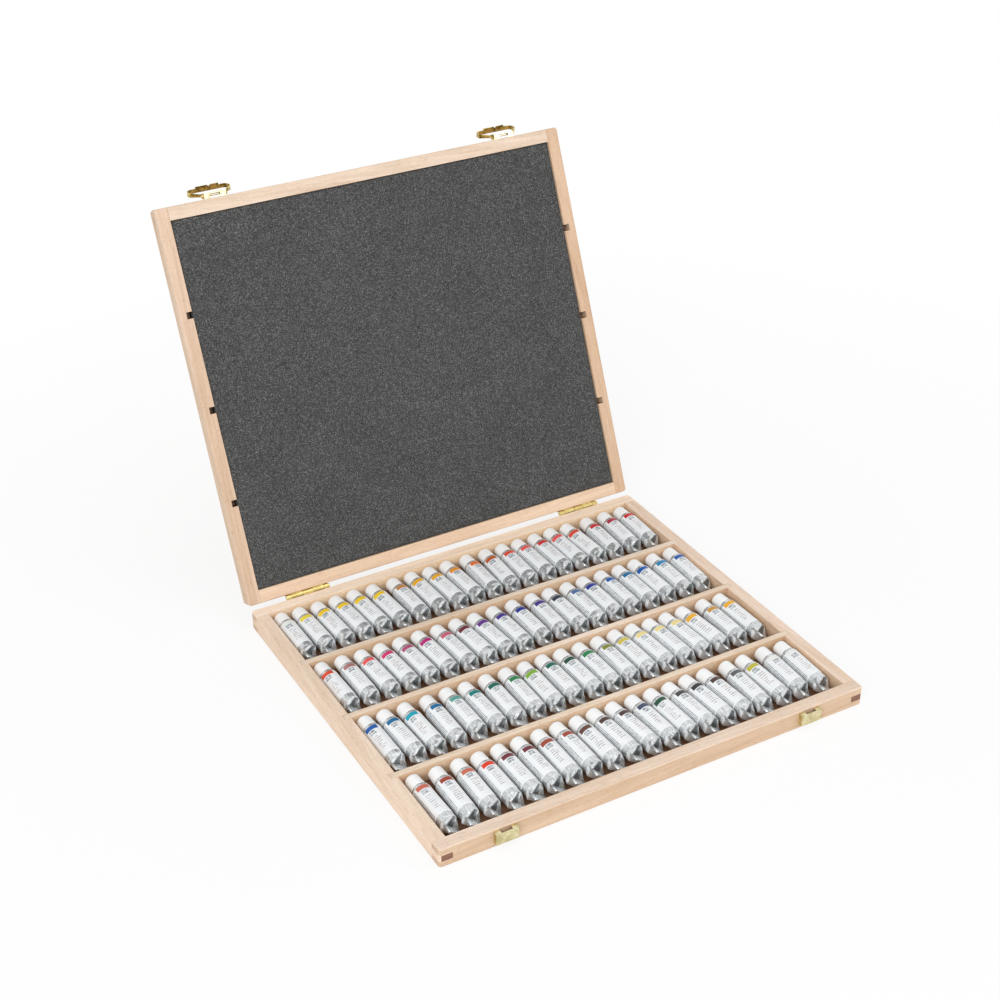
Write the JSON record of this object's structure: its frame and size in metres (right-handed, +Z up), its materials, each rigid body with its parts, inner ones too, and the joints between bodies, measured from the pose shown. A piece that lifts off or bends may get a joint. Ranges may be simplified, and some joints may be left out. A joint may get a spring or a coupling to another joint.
{
  "type": "watercolour paint box",
  "caption": "Open beech paint box with a hinged foam-lined lid, brass latches and rows of capped watercolour tubes.",
  "frame": {"origin": "centre of the base's underside, where the box rests on a table", "axes": "+X to the right as seen from the front, +Y from the latches towards the hinges, +Z up"},
  "size_m": [0.34, 0.448, 0.2982],
  "materials": {
    "beech": "satin",
    "panel_wood": "satin",
    "foam": "matte",
    "brass": "polished",
    "tube_metal": "satin",
    "cap_plastic": "satin"
  },
  "bodies": {
    "base": {"base_front_rail": "beech", "base_back_rail": "beech", "base_left_side": "beech", "base_right_side": "beech", "base_panel": "panel_wood", "divider_1": "beech", "divider_2": "beech", "divider_3": "beech", "left_hinge_base_leaf": "brass", "right_hinge_base_leaf": "brass", "left_hinge_pin": "brass", "right_hinge_pin": "brass", "left_keeper": "brass", "right_keeper": "brass"},
    "lid": {"lid_front_rail": "beech", "lid_back_rail": "beech", "lid_left_side": "beech", "lid_right_side": "beech", "lid_panel": "panel_wood", "lid_foam_pad": "foam", "left_hinge_lid_leaf": "brass", "right_hinge_lid_leaf": "brass", "left_latch_bracket": "brass", "right_latch_bracket": "brass", "left_latch_pin": "brass", "right_latch_pin": "brass"},
    "left_hasp": {"left_hasp": "brass"},
    "right_hasp": {"right_hasp": "brass"},
    "tube_row_1": {"tubes_row_1": "tube_metal", "caps_row_1": "cap_plastic"},
    "tube_row_2": {"tubes_row_2": "tube_metal", "caps_row_2": "cap_plastic"},
    "tube_row_3": {"tubes_row_3": "tube_metal", "caps_row_3": "cap_plastic"},
    "tube_row_4": {"tubes_row_4": "tube_metal", "caps_row_4": "cap_plastic"}
  },
  "joints": [
    {"name": "lid_hinge", "type": "hinge", "parent": "base", "child": "lid", "pos_m": [0, 0.1531, 0.0155], "axis": [-1, 0, 0], "range_deg": [-113.5, 0]},
    {"name": "left_hasp_pivot", "type": "hinge", "parent": "lid", "child": "left_hasp", "pos_m": [-0.122, 0.27816, 0.29534], "axis": [-1, 0, 0], "range_deg": [-155, 0]},
    {"name": "right_hasp_pivot", "type": "hinge", "parent": "lid", "child": "right_hasp", "pos_m": [0.122, 0.27816, 0.29534], "axis": [-1, 0, 0], "range_deg": [-155, 0]},
    {"name": "tube_row_1_lift", "type": "slide", "parent": "base", "child": "tube_row_1", "axis": [0, 0, 1], "range_m": [0, 0.04]},
    {"name": "tube_row_2_lift", "type": "slide", "parent": "base", "child": "tube_row_2", "axis": [0, 0, 1], "range_m": [0, 0.04]},
    {"name": "tube_row_3_lift", "type": "slide", "parent": "base", "child": "tube_row_3", "axis": [0, 0, 1], "range_m": [0, 0.04]},
    {"name": "tube_row_4_lift", "type": "slide", "parent": "base", "child": "tube_row_4", "axis": [0, 0, 1], "range_m": [0, 0.04]}
  ]
}
